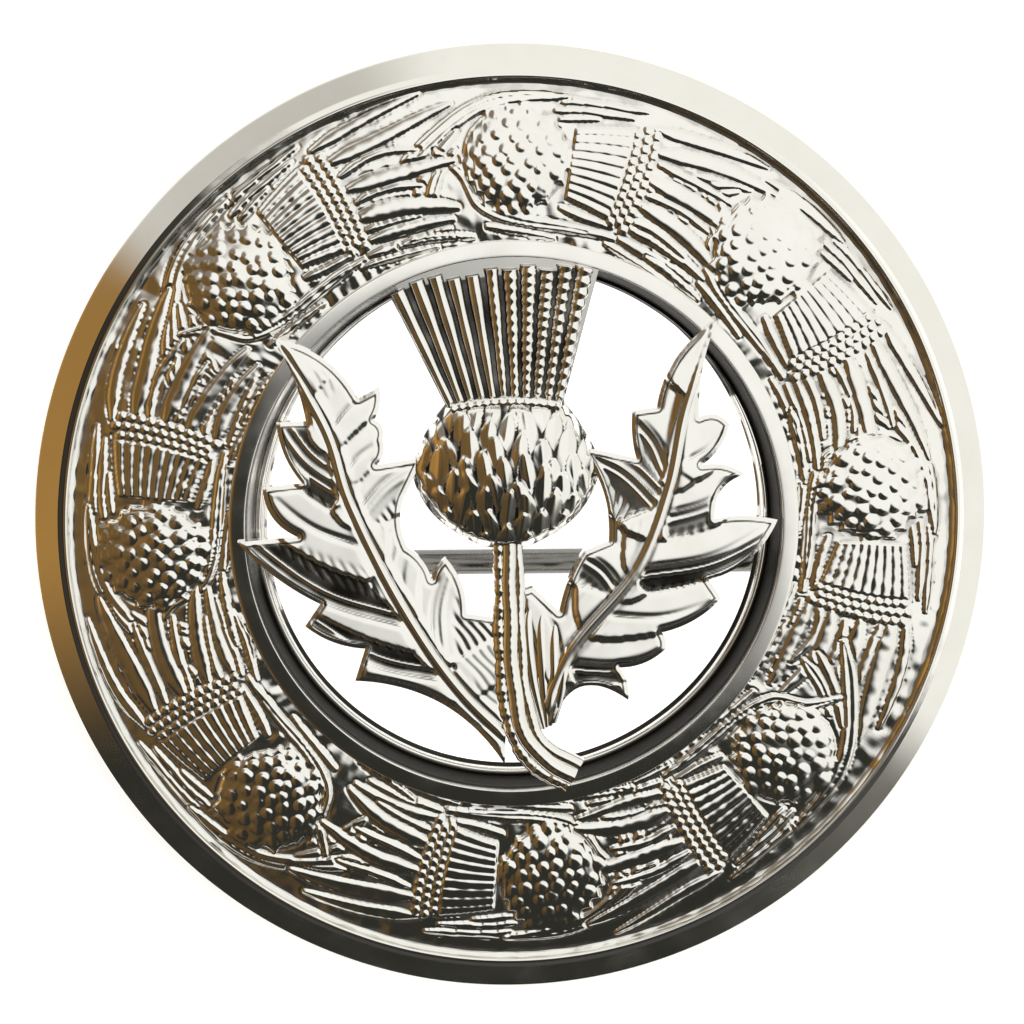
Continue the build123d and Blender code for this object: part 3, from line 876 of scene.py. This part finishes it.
def heart_surface(x, y, from_edge):
    """A dome under overlapping scales, each with a fold down its middle and a dark border."""
    across = x - HEART_CENTRE
    ball = np.sqrt(HEART_BALL**2 - across**2 - (y - HEART_MIDDLE) ** 2)
    dome = HEART_TOP - 0.2 - HEART_BALL + ball
    scales = np.full(x.shape, SCALE_SUNK)
    borders = np.zeros(x.shape)
    for row in range(SCALE_ROWS):
        up = FIRST_SCALE_ROW - row * SCALE_ROW_STEP
        for column in range(-5, 6):
            push = dice.uniform(-SCALE_JITTER, SCALE_JITTER, 2)
            broad = dice.uniform(0.95, 1.3)
            long = dice.uniform(2.1, 3.1)
            twist = dice.uniform(-0.22, 0.22)
            sx = (column + 0.5 * (row % 2)) * SCALE_PITCH + push[0]
            v = (y - up - push[1]) / long
            u = (across - sx - twist * (y - up)) / broad
            reach = np.sqrt(np.clip(1 - np.clip(v, 0, 1) ** 1.3, 1e-6, 1))
            inside = (np.abs(u) < reach) & (v > -0.7) & (v < 1)
            fold = 0.15 * np.clip(1 - np.abs(u) / 0.25, 0, 1)
            lift = -0.28 + 0.42 * rising(v, -0.7, 1.7) - 0.22 * u**2 + fold
            scales = np.where(inside, lift, scales)
            borders = np.where(inside, rising(np.abs(u) / reach, 0.72, 0.2), borders)
    ease = -0.9 * np.clip(1 - from_edge / 0.9, 0, 1) ** 2
    tops = dome + scales + ease
    recess = np.clip((-scales - 0.06) * 3.0, 0, 0.8) + np.clip(1 - from_edge / 0.5, 0, 1) * 0.3
    recess = np.clip(recess + 0.5 * borders, 0, 0.9)
    return np.clip(tops, SEAT_LEVEL + 0.3, HEART_TOP + 0.25), recess


def make_heart():
    """The heart, with the same outline at the left as at the right and a flat top edge."""
    right = [(HEART_CENTRE + half, up) for half, up in heart_side]
    left = [(HEART_CENTRE - half, up) for half, up in reversed(heart_side)]
    outline = np.vstack([
        smooth_line(right, 12)[:-1],
        np.array(bowed(np.array(right[-1]), np.array(left[0]), 0)),
        smooth_line(left, 12)[:-1],
    ])
    finish_sprig(cast_piece("thistle_heart", outline, SEAT_LEVEL, heart_surface, 0.16))


# The tuft, the stem and other drawn wires
def wire(name, points, thick, sides=5):
    """A round wire through the points, as thick at each as given."""
    curve = bpy.data.curves.new(name, "CURVE")
    curve.dimensions = "3D"
    curve.bevel_depth = 1
    curve.bevel_resolution = sides
    curve.use_fill_caps = True
    run = curve.splines.new("POLY")
    run.points.add(len(points) - 1)
    for point, place, radius in zip(run.points, points, thick):
        point.co = (*place, 1)
        point.radius = radius
    piece = bpy.data.objects.new(name, curve)
    bpy.context.collection.objects.link(piece)
    pick(piece)
    bpy.ops.object.convert(target="MESH")
    piece = bpy.context.object
    piece.select_set(False)
    tidy_shell(piece)
    return piece


def joined(name, pieces):
    """Several shells made one piece."""
    bpy.ops.object.select_all(action="DESELECT")
    for piece in pieces:
        piece.select_set(True)
    bpy.context.view_layer.objects.active = pieces[0]
    bpy.ops.object.join()
    whole = bpy.context.object
    whole.name = name
    whole.select_set(False)
    return whole


# The tuft: how far it spreads at its neck and at its top, and how far up its ragged end lies
REEDS = 11
REED_LEVEL = 7.75
TUFT_FOOT = 10.6
tuft_neck = (-6.2, 5.1)
tuft_top = (-12.0, 8.2)
ragged_x = (-12.0, -10.4, -7.2, -1.4, 1.4, 8.2)
ragged_y = (21.8, 22.9, 23.4, 24.1, 24.4, 24.6)


def reed_end(x):
    """Where the tuft ends, along the hole's edge."""
    return float(np.interp(x, ragged_x, ragged_y))


def make_reed(reed):
    """One reed of the tuft: smooth and deep at the left, like a string of beads at the right, with
    painted shade low on its sides.
    """
    share = (reed + 0.5) / REEDS
    low_x = tuft_neck[0] + share * (tuft_neck[1] - tuft_neck[0])
    low = Vector((low_x, TUFT_FOOT, REED_LEVEL))
    far_x = tuft_top[0] + share * (tuft_top[1] - tuft_top[0])
    far_y = reed_end(far_x) + dice.uniform(-0.3, 0.3)
    high = Vector((far_x, far_y, REED_LEVEL - 0.25 * abs(share - 0.5)))
    u = np.linspace(0, 1, 90)
    places = [low.lerp(high, step) for step in u]
    at_right = min(1.0, max(0.0, (share - 0.4) / 0.4))
    beaded = 0.07 * at_right
    beads = np.sin(2 * math.pi * u * dice.uniform(12, 15) + 2 * reed)
    broad = (0.38 + 0.40 * u) * (dice.uniform(0.85, 1.08) + 0.1 * at_right)
    thick = broad + 0.03 * np.sin(15 * u + 2 * reed) + beaded * beads
    piece = wire("reed", places, thick.tolist(), 6)
    points = get_points(piece)
    along = np.clip((points[:, 1] - low.y) / (high.y - low.y), 0, 1)
    axis_z = low.z + (high.z - low.z) * along
    level = (points[:, 2] - axis_z) / np.interp(along, u, thick)
    dips = np.clip(-np.interp(along, u, beads), 0, 1) * at_right
    # Painted shade on the reed's lower sides, heavier at the left of the tuft, and a little dark in the
    # dips between beads.
    set_recess(piece, np.clip((0.8 - level) * 1.6, 0, 0.85 - 0.45 * at_right) + 0.2 * dips)
    return piece


def plate_shape(name, outline, low_z, high_z, recess):
    """A flat plate with this outline between two heights."""
    count = len(outline)
    corners = [(x, y, low_z) for x, y in outline] + [(x, y, high_z) for x, y in outline]
    sides = [(i, (i + 1) % count, (i + 1) % count + count, i + count) for i in range(count)]
    faces = [tuple(reversed(range(count))), tuple(range(count, 2 * count))] + sides
    piece = from_shape(name, corners, faces)
    tidy_shell(piece)
    set_recess(piece, [recess] * len(piece.data.vertices))
    return piece


def make_tuft():
    """The reeds on a slab painted dark as the shade between them, a flange that joins them to the ring,
    and a beaded collar.
    """
    reeds = [make_reed(reed) for reed in range(REEDS)]
    foot = [(tuft_neck[1], TUFT_FOOT), (tuft_neck[0], TUFT_FOOT)]
    slab_under, slab_top, slab_inset = 6.35, 7.7, 0.3
    across = np.linspace(tuft_top[0] + slab_inset, tuft_top[1] - slab_inset, 12)
    ends = [(x, reed_end(x) - 0.4) for x in across]
    # The slab's dark colour is painted shade, seen in the gaps between the reeds.
    slab = plate_shape("slab", foot + ends, slab_under, slab_top, 0.6)
    flange_under, flange_top, flange_radius = 6.2, 7.0, 26.75
    edge = arc(flange_radius, 116, 72, 16)
    edge = [(x - SPRIG_SHIFT.x, y - SPRIG_SHIFT.y) for x, y in edge]
    flange = plate_shape("flange", foot + edge, flange_under, flange_top, 0.12)
    collar_level, collar_steps = 8.2, 40
    collar_x = np.linspace(-5.9, 4.9, collar_steps)
    collar_line = [(x, TUFT_FOOT + 0.7 - 0.02 * x * x, collar_level) for x in collar_x]
    beads = [0.62 + 0.1 * math.sin(i * 2.2) for i in range(collar_steps)]
    collar = wire("collar", collar_line, beads)
    finish_sprig(joined("tuft", [slab, flange, collar] + reeds))


# Each strand of the stem: how far it lies from the stem's line, how much higher than the leaves
# its middle is, its radius at the heart, and how knobbly it is
stem_strands = [
    (-0.75, -0.15, 0.62, 0.06),
    (0.15, 0.1, 0.75, 0.01),
    (1.05, -0.1, 0.6, 0.01),
]
STEM_WIDENS = 0.3
STIPULE_LEVEL = 7.35


def make_stem():
    """Three strands that widen to the foot of the stem, and four stipules along its right side."""
    line = smooth_line(stem_line, 24)
    run = np.append(0, np.cumsum(np.hypot(*np.diff(line, axis=0).T)))
    along = np.gradient(line, axis=0)
    along /= np.hypot(*along.T)[:, None]
    widen = 1 + STEM_WIDENS * run / run[-1]
    strands = []
    for aside, high, radius, knobs in stem_strands:
        sway = 0.06 * np.sin(0.9 * run + 4 * aside)
        offset = (aside + sway) * widen
        places = np.column_stack([
            line[:, 0] - along[:, 1] * offset,
            line[:, 1] + along[:, 0] * offset,
            np.full(len(run), LEAF_TOP + high),
        ])
        thick = radius * widen + knobs * (np.sin(3.1 * run + aside) + 0.7 * np.sin(7.7 * run))
        strands.append(wire("strand", places.tolist(), thick.tolist(), 6))
    for points in stipules:
        side = smooth_line(points, 14)
        share = np.linspace(0, 1, len(side))
        thick = 0.3 + 0.36 * np.sin(math.pi * np.clip(share * 0.9 + 0.08, 0, 1))
        places = np.column_stack([side, STIPULE_LEVEL + 0.25 * np.sin(math.pi * share)])
        strands.append(wire("stipule", places.tolist(), thick.tolist(), 6))
    finish_sprig(joined("stem", strands))


# The fittings behind, round the hinge's axis: the axis leans, and up is square to it
HINGE = Vector((-38.5, -4.3, 1.9))
CANT = math.radians(20)
AXIS = Vector((0, math.cos(CANT), -math.sin(CANT)))
RISE = Vector((0, math.sin(CANT), math.cos(CANT)))
ALONG = Vector((1, 0, 0))
EAR_RADIUS = 1.35
EAR_THICK = 0.6
EAR_REACH = 3.05
EAR_FROM_MIDDLE = 0.83
CATCH_START = 32.25
CATCH_LONG = 4.0
CATCH_REACH = 3.3
HOOK_OUTER = 2.38
HOOK_INNER = 1.52
EYE_RADIUS = 1.33
EYE_THICK = 1.48
TONGUE_HALF = 1.0
TONGUE_REACH = 2.6

# The pin's wire: its radius at places along it, from the eye to the point
pin_stations = [
    (-36.75, 1.0), (-36.5, 1.22), (-36.1, 1.24), (36.3, 1.24),
    (36.7, 1.22), (41.5, 0.62), (43.7, 0.2), (43.95, 0.08),
]

# Half of the rivet: its radius at places along it, from the outside of a head to the ear
rivet_stations = [(-1.83, 0.6), (-1.80, 0.8), (-1.62, 0.93), (-1.49, 0.95), (-1.475, 0.55)]


def bent_plate(name, outline, origin, across, up, depth_way, depth, bevel):
    """A plate cut to an outline, as thick as depth, with its edges eased."""
    corners = [origin + across * a + up * b for a, b in outline]
    piece = from_shape(name, [tuple(c) for c in corners], [tuple(range(len(corners)))])
    start_edit(piece)
    bpy.ops.mesh.extrude_region_move(TRANSFORM_OT_translate={"value": depth_way * depth})
    bpy.ops.mesh.select_all(action="SELECT")
    bpy.ops.mesh.normals_make_consistent(inside=False)
    end_edit(piece)
    ease = piece.modifiers.new("ease", "BEVEL")
    ease.width = bevel
    ease.segments = 3
    ease.limit_method = "ANGLE"
    ease.angle_limit = math.radians(40)
    pick(piece)
    bpy.ops.object.modifier_apply(modifier="ease")
    piece.select_set(False)
    return piece


def make_hinge():
    """The two ears, each with a round end below the rivet."""
    outline = [(-EAR_RADIUS, EAR_REACH)] + arc(EAR_RADIUS, 180, 360, 25) + [(EAR_RADIUS, EAR_REACH)]
    ears = []
    for side in (-1, 1):
        origin = HINGE + AXIS * (side * EAR_FROM_MIDDLE)
        ears.append(bent_plate("ear", outline, origin, ALONG, RISE, AXIS * side, EAR_THICK, 0.08))
    finish_plated(joined("hinge_ears", ears), 40)


def make_catch():
    """A hook round the pin, open on the side where the pin leaves it."""
    short_end, long_end = -0.28, -1.15
    hook = (
        [(-HOOK_OUTER, CATCH_REACH), (-HOOK_OUTER, short_end), (-HOOK_INNER, short_end)]
        + arc(HOOK_INNER, 180, 0, 25)
        + [(HOOK_INNER, long_end), (HOOK_OUTER, long_end), (HOOK_OUTER, CATCH_REACH)]
    )
    origin = Vector((CATCH_START, HINGE.y, HINGE.z))
    catch = bent_plate("catch", hook, origin, AXIS, RISE, ALONG, CATCH_LONG, 0.12)
    finish_plated(catch, 40)


def make_pin():
    """A round wire to a point, with a flat eye and its tongue at the hinge."""
    steps = []
    for (x0, r0), (x1, r1) in zip(pin_stations, pin_stations[1:]):
        for u in np.linspace(0, 1, 6, endpoint=False):
            steps.append((x0 + (x1 - x0) * u, r0 + (r1 - r0) * u))
    shaft = wire("shaft", [(x, HINGE.y, HINGE.z) for x, _ in steps], [r for _, r in steps], 10)
    side = math.degrees(math.asin(TONGUE_HALF / EYE_RADIUS))
    tongue = [(TONGUE_REACH, -TONGUE_HALF), (TONGUE_REACH, TONGUE_HALF)]
    outline = arc(EYE_RADIUS, side, 360 - side, 40) + tongue
    eye = bent_plate("eye", outline, HINGE - AXIS * (EYE_THICK / 2), ALONG, RISE, AXIS, EYE_THICK, 0.1)
    pin = joined("pin_piece", [shaft, eye])
    finish_piece(pin, shaded_pin_metal, "pin", "pin", 40)


def make_rivet():
    """The rivet along the hinge's axis, with a round head at each end."""
    line = rivet_stations + [(-s, r) for s, r in reversed(rivet_stations)]
    places = [tuple(HINGE + AXIS * s) for s, _ in line]
    rivet = wire("rivet_piece", places, [r for _, r in line], 10)
    finish_piece(rivet, rivet_steel, "brooch", "rivet", 40)


make_ring()
make_relief()
make_leaves()
make_heart()
make_tuft()
make_stem()
make_hinge()
make_catch()
make_pin()
make_rivet()


# The floor, the light and the camera
def make_floor():
    bpy.ops.mesh.primitive_plane_add(size=4, location=(0, 0, cad_low.z))
    floor = bpy.context.object
    floor.name = "floor"
    material, tree = shader_tree("pale floor")
    shader = tree.nodes["Principled BSDF"]
    shader.inputs["Base Color"].default_value = (0.93, 0.93, 0.93, 1)
    shader.inputs["Roughness"].default_value = 0.9
    shader.inputs["Specular IOR Level"].default_value = 0.1
    shader.inputs["Emission Color"].default_value = (1, 1, 1, 1)
    shader.inputs["Emission Strength"].default_value = 0.75
    floor.data.materials.append(material)


def light_room():
    """A soft room: a broad bright light above and to the upper right, warm at the left, dark below."""
    world = bpy.data.worlds.new("studio")
    bpy.context.scene.world = world
    world.use_nodes = True
    tree = world.node_tree

    def ramp(source, low, high):
        limits = {"Value": source, "From Min": low, "From Max": high}
        return new_node(tree, "MapRange", limits, interpolation_type="SMOOTHSTEP").outputs["Result"]

    def both(first, second):
        return new_node(tree, "Math", {0: first, 1: second}, operation="MULTIPLY").outputs["Value"]

    def layer(under, factor, colour):
        colours = {"Factor": factor, "A": under, "B": colour}
        return new_node(tree, "Mix", colours, data_type="RGBA").outputs["Result"]

    dark_room = (0.030, 0.030, 0.025, 1)
    grey_wall = (0.43, 0.42, 0.37, 1)
    warm_wall = (0.46, 0.25, 0.065, 1)
    sky_low = (1.0, 1.0, 0.94, 1)
    sky_high = (1.06, 1.06, 1.02, 1)
    brown_screen = (0.115, 0.072, 0.030, 1)
    white = (1.0, 1.0, 1.0, 1)
    way = new_node(tree, "TexCoord").outputs["Generated"]
    apart = new_node(tree, "SeparateXYZ", {0: way})
    east, north, up = (apart.outputs[axis] for axis in ("X", "Y", "Z"))
    towards = new_node(tree, "VectorMath", {0: way, 1: TO_LAMP}, operation="DOT_PRODUCT")
    lamp_side = towards.outputs["Value"]
    low = ramp(up, 0.75, 0.45)
    warm = both(ramp(east, -0.12, -0.50), ramp(north, -0.65, -0.15))
    colour = layer(dark_room, both(low, ramp(lamp_side, -0.62, 0.55)), grey_wall)
    colour = layer(colour, warm, warm_wall)
    sky = layer(sky_low, ramp(up, 0.35, 0.92), sky_high)
    colour = layer(colour, ramp(lamp_side, -0.125, 0.035), sky)
    screen = both(ramp(east, -0.08, -0.32), both(ramp(up, 0.97, 0.90), ramp(up, 0.22, 0.60)))
    colour = layer(colour, both(screen, 0.85), brown_screen)
    seen = new_node(tree, "LightPath").outputs["Is Camera Ray"]
    tree.links.new(layer(colour, seen, white), tree.nodes["Background"].inputs["Color"])


def place_camera():
    """A long lens above the brooch, tilted a little to the north and the west. All in metres."""
    data = bpy.data.cameras.new("camera")
    camera = bpy.data.objects.new("camera", data)
    bpy.context.collection.objects.link(camera)
    back = Vector((-0.06, 0.14, 1)).normalized()
    target = Vector((-0.00016, 0.00112, 0.005))
    distance = 0.450
    right = (-back).cross(Vector((0, 1, 0))).normalized()
    up = right.cross(-back)
    place = target + back * distance
    camera.matrix_world = Matrix((
        (right.x, up.x, back.x, place.x),
        (right.y, up.y, back.y, place.y),
        (right.z, up.z, back.z, place.z),
        (0, 0, 0, 1),
    ))
    data.sensor_width = 36
    data.lens = 159.65
    data.clip_start = 0.01
    bpy.context.scene.camera = camera


make_floor()
light_room()
place_camera()
bpy.context.scene.view_settings.view_transform = "Standard"
